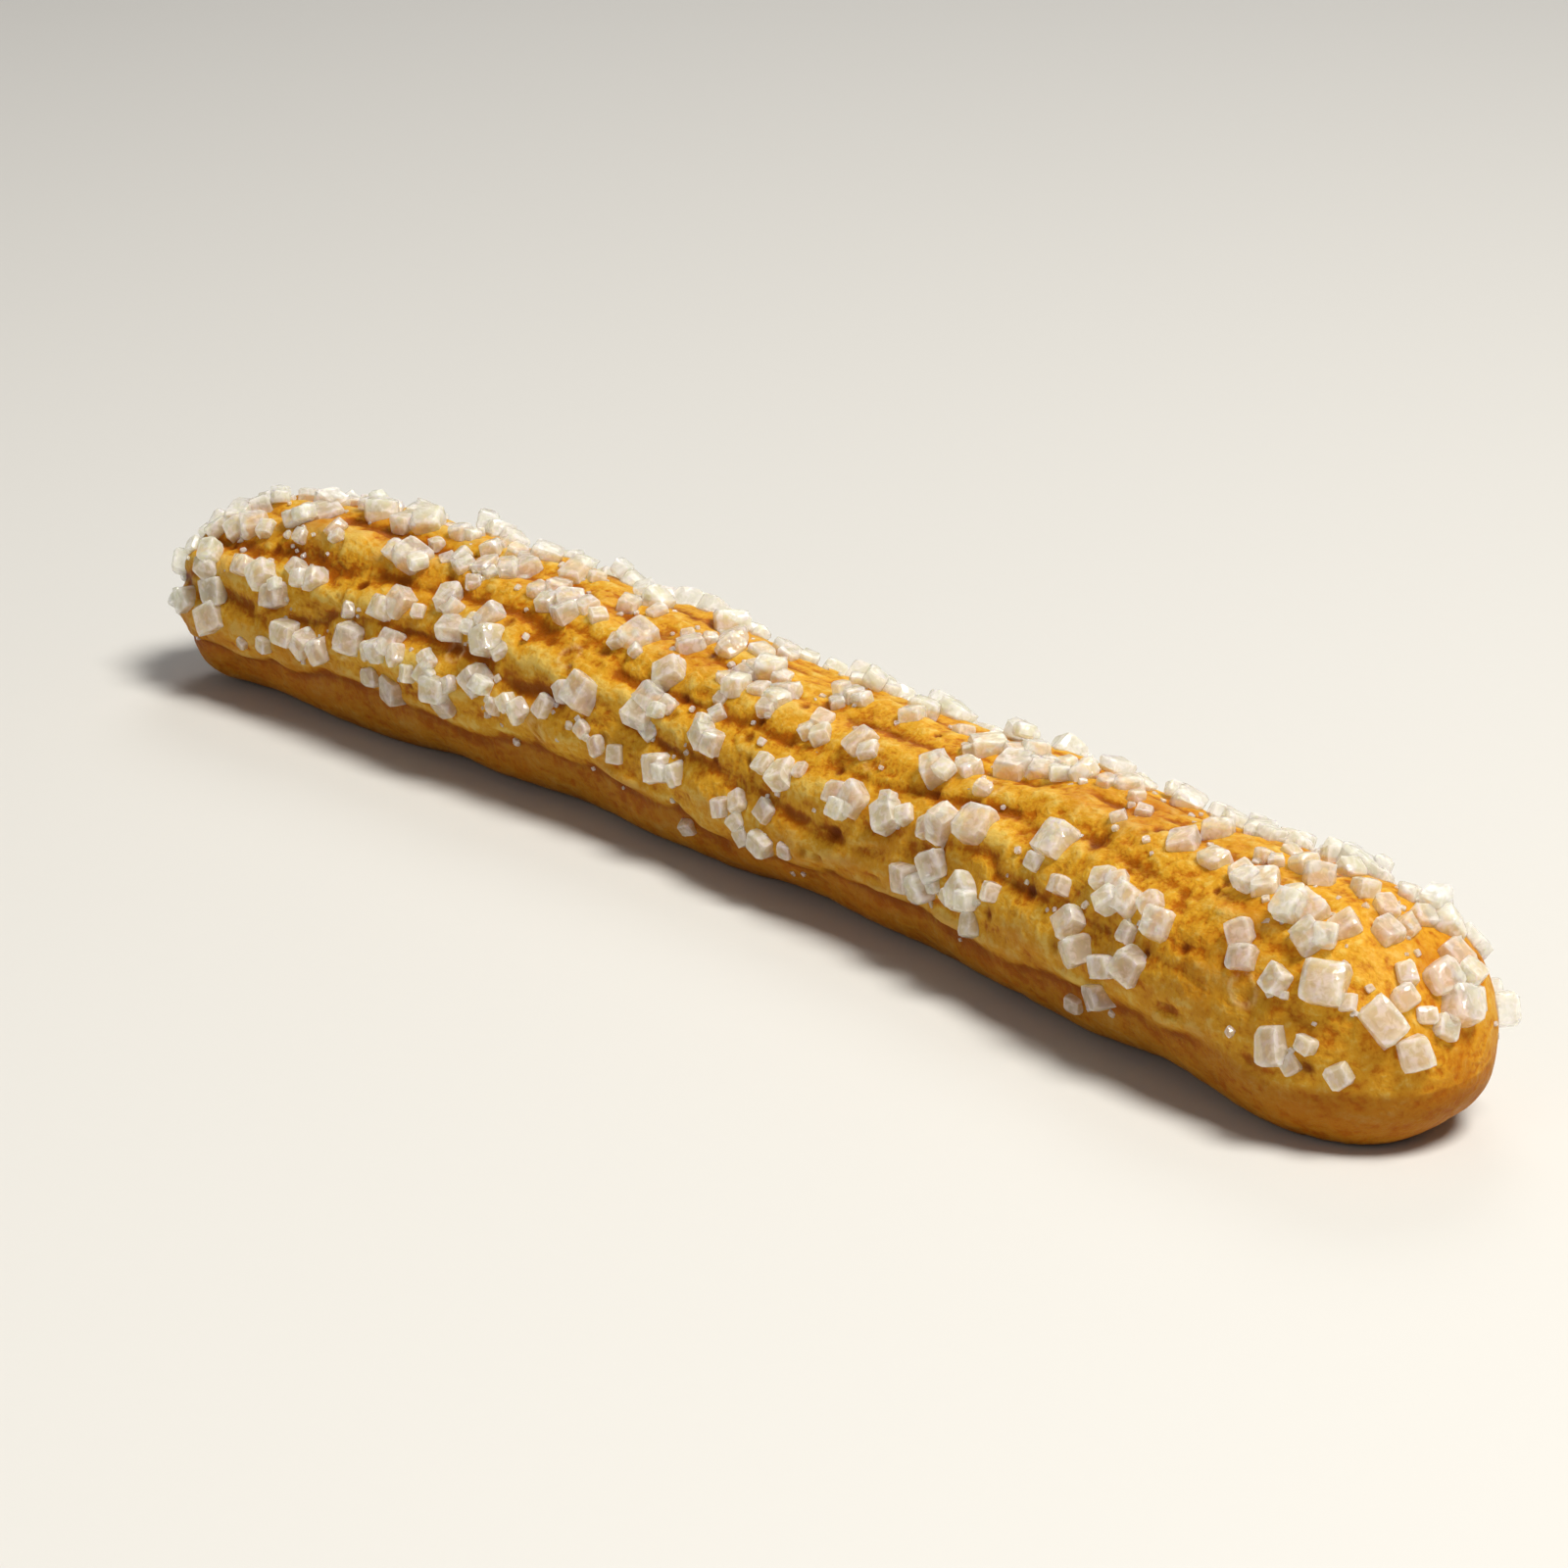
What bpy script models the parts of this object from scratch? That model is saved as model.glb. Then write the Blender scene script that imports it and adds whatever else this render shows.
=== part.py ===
# A choux pastry stick: a piped finger of choux, baked on a tray and covered with coarse sugar.
# Seven piped ridges run along its upper side, its flanks and its flat underside are smooth, and the
# sugar crystals are baked onto the ridges, so pastry and sugar are one closed solid.
#
# Metres, +Z up, origin at the middle of the underside. +X runs along the stick, from its slim end
# to its blunt end. A place on the stick is a distance along it and a turn round it, in degrees:
# 0 is the +Y flank, 90 the top, 180 the -Y flank and 270 the underside.

import math

import bmesh
import bpy
import numpy as np

MM = 0.001

# The finger. Its width, height and sideways bow change along it, at shares of its length.
LENGTH = 150 * MM
STATIONS = np.array([0.0, 0.13, 0.30, 0.50, 0.66, 0.80, 0.90, 1.0])
WIDTHS = np.array([16.4, 17.8, 17.8, 16.8, 16.8, 17.8, 18.6, 17.2]) * MM
HEIGHTS = np.array([15.4, 16.8, 16.4, 15.0, 14.8, 15.4, 15.6, 14.8]) * MM
BOWS = np.array([-3.0, -0.8, 1.2, 1.9, 1.5, -0.2, -1.3, -1.5]) * MM
SLIM_CAP = 8.0 * MM          # length over which the slim end rounds off
BLUNT_CAP = 10.5 * MM        # length over which the blunt end rounds off
WAIST_SHARE = 0.47           # the widest point's share of the height
UPPER_SQUARENESS = 2.15      # superellipse power above the waist
LOWER_SQUARENESS = 2.7       # and below it, where the flanks turn under
TRAY_PRESS = 1.06            # how far the lower half would reach if the tray didn't flatten it
TIP_DROP = 0.20              # share of the waist's height by which the tips sag
FOOT_END = 66 * MM           # distance from the middle beyond which the tips clear the tray,
TIP_LIFT = 0.25 * MM         # by this much

# The piped ridges
RIDGE_COUNT = 7
RIDGE_START = -10.0          # degrees
RIDGE_END = 190.0
RIDGE_PITCH = (RIDGE_END - RIDGE_START) / RIDGE_COUNT
RIDGE_DEPTH = 1.15 * MM
RIDGE_SHARES = np.array([0.55, 1.0, 0.85, 0.55, 0.50, 0.46, 0.22, 0.06])  # of that, by station
LIP = 0.40 * MM              # how far the ridged side stands proud of the smooth flanks
LIP_FADE = 7.0               # degrees
LIP_END = (50 * MM, 66 * MM)             # where the blunt end's flanks come level with it
WAVER = 5.0                  # degrees by which the ridges wander

# The sugar, from the largest crystal down
CRYSTALS = 180
LARGEST_CRYSTAL = 3.25 * MM
SIZE_DECAY = 0.0017          # each crystal is smaller than the last by this share
STAND = 0.18                 # height of its middle over the crust, as a share of half its own height
CLUMPED_SHARE = 0.86         # share of the crystals that lie in clumps
CLUMP_GAP = (4.0 * MM, 10.0 * MM)        # distance between clumps on a crest
CLUMP_SPREAD = (1.6 * MM, 5.0)           # along and round the stick
CLUMP_BIAS = 1.7             # 1 fills all clumps alike, more fills some of them before others
CREST_PULL = 0.45            # how strongly the others lie on crests rather than in furrows
CLOSEST = 0.25               # least distance, as a share of two crystals' sizes added up
SUGAR_START, SUGAR_END = -24.0, 206.0
LEAN = 0.26                  # how far crystals lean, in radians
SIDES = ((0.80, 0.72, 0.58), (1.0, 0.95, 0.84))      # least and most, in shares of its size
CORNER_JITTER = 0.10         # in half sides
SEED = 41

# The mesh
ROUND_STEPS = 42             # steps round the stick, of which
RIDGE_STEPS = 4 * RIDGE_COUNT            # this many lie on the ridged side
LENGTH_STEPS = 44
END_CROWDING = 0.62          # how much closer the steps lie towards the tips


def smooth_step(low, high, value):
    share = np.clip((value - low) / (high - low), 0, 1)
    return share * share * (3 - 2 * share)


def along_stations(values, share):
    """Smooth curve through the values at the stations, by cubic Hermite pieces."""
    slopes = np.gradient(values, STATIONS)
    piece = np.clip(np.searchsorted(STATIONS, share) - 1, 0, len(STATIONS) - 2)
    span = STATIONS[piece + 1] - STATIONS[piece]
    t = np.clip((share - STATIONS[piece]) / span, 0, 1)
    start = (2 * t**3 - 3 * t**2 + 1) * values[piece] + (t**3 - 2 * t**2 + t) * span * slopes[piece]
    end = (3 * t**2 - 2 * t**3) * values[piece + 1] + (t**3 - t**2) * span * slopes[piece + 1]
    return start + end


def unevenness(x, turn):
    """Slow swellings and dents of the dough, as a few crossed waves."""
    mm = x / MM
    round_way = np.radians(turn)
    waves = 0.22 * np.sin(mm / 6.1 + 2 * round_way + 0.7)
    waves = waves + 0.13 * np.sin(mm / 3.7 - 3 * round_way + 2.1)
    return (waves + 0.09 * np.sin(mm / 2.3 + 4 * round_way + 4.0)) * MM


def ridge_relief(x, turn):
    """Height of the piped side over the smooth flanks: rounded crests between sharp furrows."""
    on_side = smooth_step(RIDGE_START - LIP_FADE, RIDGE_START, turn)
    on_side = on_side * (1 - smooth_step(RIDGE_END, RIDGE_END + LIP_FADE, turn))
    phase = (turn - RIDGE_START) / RIDGE_PITCH
    wave = np.abs(np.sin(math.pi * phase))
    crest = 0.6 * wave + 0.4 * wave**2
    mm = x / MM
    strength = 0.85 + 0.22 * np.sin(mm / 7.3 + 1.9 * phase) + 0.16 * np.sin(mm / 3.1 - 2.7 * phase)
    strength = strength * along_stations(RIDGE_SHARES, x / LENGTH + 0.5)
    level = smooth_step(*LIP_END, x)
    return LIP * (on_side + (1 - on_side) * level) + RIDGE_DEPTH * strength * crest * on_side


def wander(x, turn):
    """The angle at which a ridge that starts at this turn has arrived at x."""
    mm = x / MM
    swing = np.sin(mm / 11.5 + 0.9) + 0.55 * np.sin(mm / 5.3 + turn / 31)
    on_side = smooth_step(-40, 10, turn) * (1 - smooth_step(170, 220, turn))
    return turn + WAVER * swing * on_side


def stick_surface(x, turn, ridged=True):
    """Points of the baked surface: a flattened superellipse, ridged on top and flat on the tray."""
    x, turn = np.broadcast_arrays(np.asarray(x, float), np.asarray(turn, float))
    share = x / LENGTH + 0.5
    half_width = along_stations(WIDTHS, share) / 2
    height = along_stations(HEIGHTS, share)
    waist = WAIST_SHARE * height
    to_slim = np.clip((x + LENGTH / 2) / SLIM_CAP, 0, 1)
    to_blunt = np.clip((LENGTH / 2 - x) / BLUNT_CAP, 0, 1)
    cap = np.sqrt((1 - (1 - to_slim) ** 2) * (1 - (1 - to_blunt) ** 2))
    angle = np.radians(wander(x, turn))
    across, up = np.cos(angle), np.sin(angle)
    power = np.where(up > 0, UPPER_SQUARENESS, LOWER_SQUARENESS)
    half_height = np.where(up > 0, height - waist, waist * TRAY_PRESS)
    reach = (np.abs(across) / half_width) ** power + (np.abs(up) / half_height) ** power
    radius = reach ** (-1 / power) + unevenness(x, turn)
    if ridged:
        radius = radius + ridge_relief(x, turn)
    middle = waist * (1 - TIP_DROP * (1 - cap))
    y = along_stations(BOWS, share) + radius * across * cap
    tray = np.where(np.abs(x) > FOOT_END, TIP_LIFT, 0)
    z = np.maximum(middle + radius * up * cap, tray)
    return np.stack([x, y, z], axis=-1)


def outward(x, turn):
    """Unit normals of the surface without its ridges, from small steps along and round it."""
    step_x, step_turn = 0.5 * MM, 3.0
    low, high = np.maximum(x - step_x, -LENGTH / 2), np.minimum(x + step_x, LENGTH / 2)
    lengthways = stick_surface(high, turn, False) - stick_surface(low, turn, False)
    roundways = stick_surface(x, turn + step_turn, False) - stick_surface(x, turn - step_turn, False)
    normal = np.cross(roundways, lengthways)
    return normal / np.linalg.norm(normal, axis=-1, keepdims=True)


def crest_near(turn):
    ridge = np.clip(np.floor((turn - RIDGE_START) / RIDGE_PITCH), 0, RIDGE_COUNT - 1)
    return RIDGE_START + (ridge + 0.5) * RIDGE_PITCH


def clump_places(draw, reach):
    """Middles of the clumps, (x, turn), in a random order: uneven steps along each crest."""
    clumps = []
    for ridge in range(RIDGE_COUNT):
        x = -reach + draw.uniform(0, CLUMP_GAP[0])
        while x < reach:
            clumps.append((x, RIDGE_START + (ridge + 0.5) * RIDGE_PITCH))
            x += draw.uniform(*CLUMP_GAP)
    draw.shuffle(clumps)
    return clumps


def spread_sugar(count):
    """Places of the crystals, (x, turn, size), the largest first, by seeded draws."""
    draw = np.random.RandomState(SEED)
    sizes = LARGEST_CRYSTAL * np.exp(-SIZE_DECAY * np.arange(count))
    reach = LENGTH / 2 - 0.8 * MM
    clumps = clump_places(draw, reach)
    placed = []
    spots = np.empty((0, 3))
    while len(placed) < count:
        if draw.uniform() < CLUMPED_SHARE:
            middle = clumps[int(len(clumps) * draw.uniform() ** CLUMP_BIAS)]
            x, turn = middle + draw.normal(size=2) * CLUMP_SPREAD
        else:
            x, turn = draw.uniform((-reach, SUGAR_START), (reach, SUGAR_END))
            if RIDGE_START < turn < RIDGE_END:
                turn += CREST_PULL * (crest_near(turn) - turn)
        if abs(x) > reach or not SUGAR_START < turn < SUGAR_END:
            continue
        spot = stick_surface(x, turn)
        size = sizes[len(placed)]
        gaps = np.linalg.norm(spots - spot, axis=1)
        if (gaps < CLOSEST * (size + sizes[: len(placed)])).any():
            continue
        placed.append((x, turn, size))
        spots = np.vstack([spots, spot])
    return np.array(placed)


def crystal_frames(places):
    """Each crystal's middle, its three axes scaled to its half sides, and its corners' jitter."""
    draw = np.random.RandomState(SEED + 1)
    count = len(places)
    x, turn, size = places.T
    normal = outward(x, turn)
    spin = draw.uniform(0, math.pi, (count, 1))
    lean = draw.normal(0, LEAN, (count, 2))
    sides = draw.uniform(*SIDES, (count, 3)) / 2
    jitter = draw.uniform(-CORNER_JITTER, CORNER_JITTER, (count, 2, 2, 2, 3))
    first = np.cross(normal, (0.0, 0.6, 0.8))
    first = first / np.linalg.norm(first, axis=1, keepdims=True)
    second = np.cross(normal, first)
    along = first * np.cos(spin) + second * np.sin(spin) + normal * lean[:, :1]
    along = along / np.linalg.norm(along, axis=1, keepdims=True)
    aside = np.cross(normal + first * lean[:, 1:], along)
    aside = aside / np.linalg.norm(aside, axis=1, keepdims=True)
    upright = np.cross(along, aside)
    axes = np.stack([along, aside, upright], axis=1) * (sides * size[:, None])[:, :, None]
    middle = stick_surface(x, turn) + normal * (STAND * sides[:, 2] * size)[:, None]
    return middle, axes, jitter


def plain_material(name, colour, roughness):
    material = bpy.data.materials.new(name)
    material.use_nodes = True
    shader = material.node_tree.nodes["Principled BSDF"]
    shader.inputs["Base Color"].default_value = (*colour, 1.0)
    shader.inputs["Roughness"].default_value = roughness
    shader.inputs["Metallic"].default_value = 0.0
    return material


def new_collection(name):
    collection = bpy.data.collections.new(name)
    bpy.context.scene.collection.children.link(collection)
    return collection


def into_object(shape, name, material, collection):
    """Makes the edited shape an object, of flat triangles that point outwards."""
    bmesh.ops.triangulate(shape, faces=shape.faces)
    if shape.calc_volume(signed=True) < 0:
        bmesh.ops.reverse_faces(shape, faces=shape.faces)
    mesh = bpy.data.meshes.new(name)
    shape.to_mesh(mesh)
    shape.free()
    mesh.materials.append(material)
    made = bpy.data.objects.new(name, mesh)
    collection.objects.link(made)
    return made


def make_stick(collection):
    """A UV sphere whose rings become the stick's cross sections, its poles the two tips."""
    shape = bmesh.new()
    bmesh.ops.create_uvsphere(shape, u_segments=ROUND_STEPS, v_segments=LENGTH_STEPS, radius=1.0)
    places = np.array([vertex.co for vertex in shape.verts])
    down = np.arccos(np.clip(places[:, 2], -1, 1)) * 2 / math.pi - 1
    crowded = np.sin(down * math.pi / 2)
    x = ((1 - END_CROWDING) * down + END_CROWDING * crowded) * LENGTH / 2
    round_share = np.arctan2(places[:, 1], places[:, 0]) / (2 * math.pi) % 1
    ridged_share = RIDGE_STEPS / ROUND_STEPS
    turn = np.interp(round_share, (0, ridged_share, 1), (RIDGE_START, RIDGE_END, RIDGE_START + 360))
    for vertex, point in zip(shape.verts, stick_surface(x, turn)):
        vertex.co = point
    choux = plain_material("baked_choux", (0.60, 0.29, 0.05), 0.55)
    return into_object(shape, "choux_stick", choux, collection)


def make_crystals(collection):
    """One uneven, tilted block for each sugar crystal."""
    middles, axes, jitters = crystal_frames(spread_sugar(CRYSTALS))
    sugar = plain_material("coarse_sugar", (0.74, 0.70, 0.60), 0.30)
    for number, (middle, axis, jitter) in enumerate(zip(middles, axes, jitters)):
        shape = bmesh.new()
        bmesh.ops.create_cube(shape, size=2.0)
        for vertex in shape.verts:
            corner = tuple(int(side > 0) for side in vertex.co)
            vertex.co = (np.array(vertex.co) + jitter[corner]) @ axis + middle
        into_object(shape, f"crystal_{number}", sugar, collection)


def keep_outer_skin(mesh):
    """Deletes every connected patch of faces but the largest: the walls of pockets that the sugar
    sealed, which fills them, and crumbs that touch nothing."""
    shape = bmesh.new()
    shape.from_mesh(mesh)
    waiting = set(shape.faces)
    patches = []
    while waiting:
        patch, edge_of_patch = set(), [waiting.pop()]
        while edge_of_patch:
            face = edge_of_patch.pop()
            patch.add(face)
            beside = {near for edge in face.edges for near in edge.link_faces} & waiting
            waiting -= beside
            edge_of_patch.extend(beside)
        patches.append(patch)
    patches.sort(key=len)
    inner = [face for patch in patches[:-1] for face in patch]
    bmesh.ops.delete(shape, geom=inner, context="FACES")
    shape.to_mesh(mesh)
    shape.free()


def fuse(stick, collection):
    """Joins everything in the collection to the stick, then removes the collection's objects."""
    union = stick.modifiers.new("Sugar", "BOOLEAN")
    union.operation = "UNION"
    union.operand_type = "COLLECTION"
    union.collection = collection
    union.solver = "EXACT"
    graph = bpy.context.evaluated_depsgraph_get()
    fused = bpy.data.meshes.new_from_object(stick.evaluated_get(graph))
    stick.modifiers.clear()
    stick.data = fused
    keep_outer_skin(fused)
    for piece in list(collection.objects):
        bpy.data.objects.remove(piece)
    bpy.data.collections.remove(collection)


def main():
    for old in list(bpy.data.objects):
        bpy.data.objects.remove(old)
    pastry = new_collection("choux_pastry_stick")
    sugar = new_collection("loose_sugar")
    stick = make_stick(pastry)
    make_crystals(sugar)
    fuse(stick, sugar)
    stick.data.shade_smooth()
    stick.data.set_sharp_from_angle(angle=math.radians(40))


main()
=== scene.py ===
import math

import bpy
import numpy as np
from mathutils import Matrix, Vector


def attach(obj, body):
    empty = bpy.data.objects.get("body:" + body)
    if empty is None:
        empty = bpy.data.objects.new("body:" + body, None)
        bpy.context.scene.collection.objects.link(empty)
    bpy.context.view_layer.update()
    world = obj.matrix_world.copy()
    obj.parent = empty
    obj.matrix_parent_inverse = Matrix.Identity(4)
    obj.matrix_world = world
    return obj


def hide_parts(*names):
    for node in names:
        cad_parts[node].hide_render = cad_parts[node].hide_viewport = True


# The looks of a piped, baked choux finger covered with coarse sugar. Metres, +Z up, the stick lies
# along +X from its slim end to its blunt end. A place on it is a distance along it and a turn round
# it in degrees: 0 is the far flank, 90 the top, 180 the near flank and 270 the underside.

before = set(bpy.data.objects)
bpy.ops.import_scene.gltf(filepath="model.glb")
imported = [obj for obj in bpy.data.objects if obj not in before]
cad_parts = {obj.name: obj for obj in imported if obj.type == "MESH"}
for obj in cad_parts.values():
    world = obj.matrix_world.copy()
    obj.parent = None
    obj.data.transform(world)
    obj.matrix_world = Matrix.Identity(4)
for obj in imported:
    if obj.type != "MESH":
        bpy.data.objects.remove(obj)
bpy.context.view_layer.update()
mm = 0.001
latticeSize = 61                  # corners of the noise along each axis, after which it repeats


def smoothStep(low, high, value):
    # 0 up to low, 1 from high on, an S curve between; low may also be the larger of the two
    share = np.clip((value - low) / (high - low), 0, 1)
    return share * share * (3 - 2 * share)


def latticeNoise(points, cell, seed):
    # random values at the corners of a cubic lattice, blended by an S curve along each axis: -1 to 1
    table = np.random.RandomState(seed).uniform(-1, 1, (latticeSize, latticeSize, latticeSize))
    spot = points / cell
    base = np.floor(spot).astype(int)
    blend = smoothStep(0, 1, spot - base)
    total = 0
    for corner in np.ndindex(2, 2, 2):
        weight = np.prod(np.where(corner, blend, 1 - blend), axis=-1)
        i, j, k = np.moveaxis((base + corner) % latticeSize, -1, 0)
        total = total + weight * table[i, j, k]
    return total


def roughNoise(points, cell, octaves, seed):
    # lattice noise summed over octaves, each with half the cell and half the height of the last,
    # scaled to about -1 to 1
    layers = [latticeNoise(points, cell / 2**n, seed + n) / 2**n for n in range(octaves)]
    return sum(layers) / 1.4


# The finger's form, from the same named sizes as its solid

finger = {
    "length": 150 * mm,
    "stations": np.array([0.0, 0.13, 0.30, 0.50, 0.66, 0.80, 0.90, 1.0]),   # shares of the length
    "widths": np.array([16.4, 17.8, 17.8, 16.8, 16.8, 17.8, 18.6, 17.2]) * mm,
    "heights": np.array([15.4, 16.8, 16.4, 15.0, 14.8, 15.4, 15.6, 14.8]) * mm,
    "bows": np.array([-3.0, -0.8, 1.2, 1.9, 1.5, -0.2, -1.3, -1.5]) * mm,   # sideways
    "slimCap": 8.0 * mm,          # lengths over which the two ends round off
    "bluntCap": 10.5 * mm,
    "waistShare": 0.47,           # the widest point's share of the height
    "squareness": (2.15, 2.7),    # superellipse powers above and below the waist
    "trayPress": 1.06,            # how far the lower half would reach without the tray
    "tipDrop": 0.20,              # share of the waist's height by which the tips sag
    "footEnd": 66 * mm,           # distance from the middle beyond which the tips clear the tray,
    "tipLift": 0.25 * mm,         # by this much
}

ridges = {
    "count": 7,
    "start": -10.0,               # degrees
    "end": 190.0,
    "depth": 1.15 * mm,
    "shares": np.array([0.55, 1.0, 0.85, 0.55, 0.50, 0.46, 0.22, 0.06]),   # of that, by station
    "lip": 0.40 * mm,             # how far the piped side stands proud of the smooth flanks
    "lipFade": 7.0,               # degrees
    "lipEnd": (50 * mm, 66 * mm),            # where the blunt end's flanks come level with it
    "waver": 5.0,                 # degrees by which the ridges wander
}
pitch = (ridges["end"] - ridges["start"]) / ridges["count"]
barRadius = 9 * mm                # the stick's, where a turn is taken as a distance round it


def alongStations(values, share):
    # cubic Hermite curve through the values at the stations, slopes from their neighbours
    stations = finger["stations"]
    slopes = np.gradient(values, stations)
    piece = np.clip(np.searchsorted(stations, share) - 1, 0, len(stations) - 2)
    span = stations[piece + 1] - stations[piece]
    t = np.clip((share - stations[piece]) / span, 0, 1)
    start = (2 * t**3 - 3 * t**2 + 1) * values[piece] + (t**3 - 2 * t**2 + t) * span * slopes[piece]
    end = (3 * t**2 - 2 * t**3) * values[piece + 1] + (t**3 - t**2) * span * slopes[piece + 1]
    return start + end


def unevenness(x, turn):
    # slow swellings and dents: three waves that cross along and round the stick
    way = x / mm
    around = np.radians(turn)
    waves = 0.22 * np.sin(way / 6.1 + 2 * around + 0.7) + 0.13 * np.sin(way / 3.7 - 3 * around + 2.1)
    return (waves + 0.09 * np.sin(way / 2.3 + 4 * around + 4.0)) * mm


def pipedSide(turn):
    # 1 on the ridged side, falling to 0 over the lip
    fade = ridges["lipFade"]
    far = smoothStep(ridges["start"] - fade, ridges["start"], turn)
    return far * (1 - smoothStep(ridges["end"], ridges["end"] + fade, turn))


def ridgeStrength(x, phase):
    # how far the ridges stand here: waves along each ridge, nearly nothing at the blunt end
    way = x / mm
    strength = 0.85 + 0.22 * np.sin(way / 7.3 + 1.9 * phase) + 0.16 * np.sin(way / 3.1 - 2.7 * phase)
    return strength * alongStations(ridges["shares"], x / finger["length"] + 0.5)


def lipRelief(x, piped):
    # the piped side's step over the flanks, which come level with it towards the blunt end
    level = smoothStep(*ridges["lipEnd"], x)
    return ridges["lip"] * (piped + (1 - piped) * level)


def ridgeRelief(x, turn):
    # rounded crests between sharp furrows: |sin| of the ridge number, a little squared
    phase = (turn - ridges["start"]) / pitch
    wave = np.abs(np.sin(math.pi * phase))
    crest = 0.6 * wave + 0.4 * wave**2
    piped = pipedSide(turn)
    return lipRelief(x, piped) + piped * ridges["depth"] * ridgeStrength(x, phase) * crest


def wander(x, turn):
    # the angle at which a ridge that starts at this turn has arrived at x
    way = x / mm
    swing = np.sin(way / 11.5 + 0.9) + 0.55 * np.sin(way / 5.3 + turn / 31)
    return turn + ridges["waver"] * swing * smoothStep(-40, 10, turn) * (1 - smoothStep(170, 220, turn))


def stickSurface(x, turn, relief=0.0):
    # superellipse sections of changing width and height, rounded off at both ends, pressed flat
    # below; relief is added to the radius
    x, turn = np.broadcast_arrays(np.asarray(x, float), np.asarray(turn, float))
    share = x / finger["length"] + 0.5
    halfWidth = alongStations(finger["widths"], share) / 2
    height = alongStations(finger["heights"], share)
    waist = finger["waistShare"] * height
    toSlim = np.clip((x + finger["length"] / 2) / finger["slimCap"], 0, 1)
    toBlunt = np.clip((finger["length"] / 2 - x) / finger["bluntCap"], 0, 1)
    cap = np.sqrt((1 - (1 - toSlim) ** 2) * (1 - (1 - toBlunt) ** 2))
    angle = np.radians(wander(x, turn))
    across, up = np.cos(angle), np.sin(angle)
    power = np.where(up > 0, *finger["squareness"])
    halfHeight = np.where(up > 0, height - waist, waist * finger["trayPress"])
    reach = (np.abs(across) / halfWidth) ** power + (np.abs(up) / halfHeight) ** power
    radius = reach ** (-1 / power) + unevenness(x, turn) + relief
    middle = waist * (1 - finger["tipDrop"] * (1 - cap))
    y = alongStations(finger["bows"], share) + radius * across * cap
    tray = np.where(np.abs(x) > finger["footEnd"], finger["tipLift"], 0)
    z = np.maximum(middle + radius * up * cap, tray)
    return np.stack([x, y, z], axis=-1)


def ridgedSurface(x, turn):
    return stickSurface(x, turn, ridgeRelief(x, turn))


def outward(x, turn):
    # unit normals of the form without its ridges, from small steps along it and round it
    step, tip = 0.5 * mm, finger["length"] / 2
    low, high = np.maximum(x - step, -tip), np.minimum(x + step, tip)
    lengthways = stickSurface(high, turn) - stickSurface(low, turn)
    roundways = stickSurface(x, turn + 3.0) - stickSurface(x, turn - 3.0)
    normal = np.cross(roundways, lengthways)
    return normal / np.linalg.norm(normal, axis=-1, keepdims=True)


# The sugar: its places come first, because the crust is stained round each crystal

sugar = {
    "solidCount": 180,            # the largest, which are in the solid too
    "count": 500,
    "largest": 3.25 * mm,
    "decay": 0.0017,              # each crystal is smaller than the last by this share
    "stand": 0.18,                # height of its middle over the crust, in half heights
    "clumpedShare": 0.86,
    "clumpGap": (4.0 * mm, 10.0 * mm),
    "clumpSpread": (1.6 * mm, 5.0),          # along and round the stick
    "clumpBias": 1.7,             # 1 fills all clumps alike, more fills some before others
    "crestPull": 0.45,
    "closest": 0.25,              # least distance, in shares of two sizes added up
    "stacked": 0.31,              # and the one at which a small one lies on its neighbour,
    "lift": 0.25,                 # raised by this share of the neighbour's size
    "lean": 0.26,                 # radians
    "sides": ((0.80, 0.72, 0.58), (1.0, 0.95, 0.84)),   # least and most, in shares of its size
    "jitter": 0.10,               # of the corners, in half sides
    "turns": (-24.0, 206.0),      # where sugar lies round the stick
    "fromTip": 0.8 * mm,
    "seed": 41,
    "rounding": (0.28, 0.55),     # radius of the edges, in half sides
    "wobble": 0.045,
    "chops": 3,                   # planes that each chop something off a crystal,
    "chop": (1.10, 1.70),         # at this distance from its middle, in half sides
    "sharpFrom": 32.0,            # degrees between two facets from which their edge is sharp
    "grains": 600,
    "grainSizes": (0.38 * mm, 0.85 * mm),
    "grainReach": (0.5, 1.3),     # how far off its crystal a grain lies, in crystal sizes
    "looseGrains": 0.20,          # share that lies anywhere
    "grainRounding": 0.55,
}


def clumpPlaces(draw, reach):
    # middles of the clumps, in a random order: uneven steps along each crest
    clumps = []
    for ridge in range(ridges["count"]):
        x = -reach + draw.uniform(0, sugar["clumpGap"][0])
        while x < reach:
            clumps.append((x, ridges["start"] + (ridge + 0.5) * pitch))
            x += draw.uniform(*sugar["clumpGap"])
    draw.shuffle(clumps)
    return clumps


def crestNear(turn):
    # the turn of the ridge crest next to this one
    ridge = np.clip(np.floor((turn - ridges["start"]) / pitch), 0, ridges["count"] - 1)
    return ridges["start"] + (ridge + 0.5) * pitch


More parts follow.
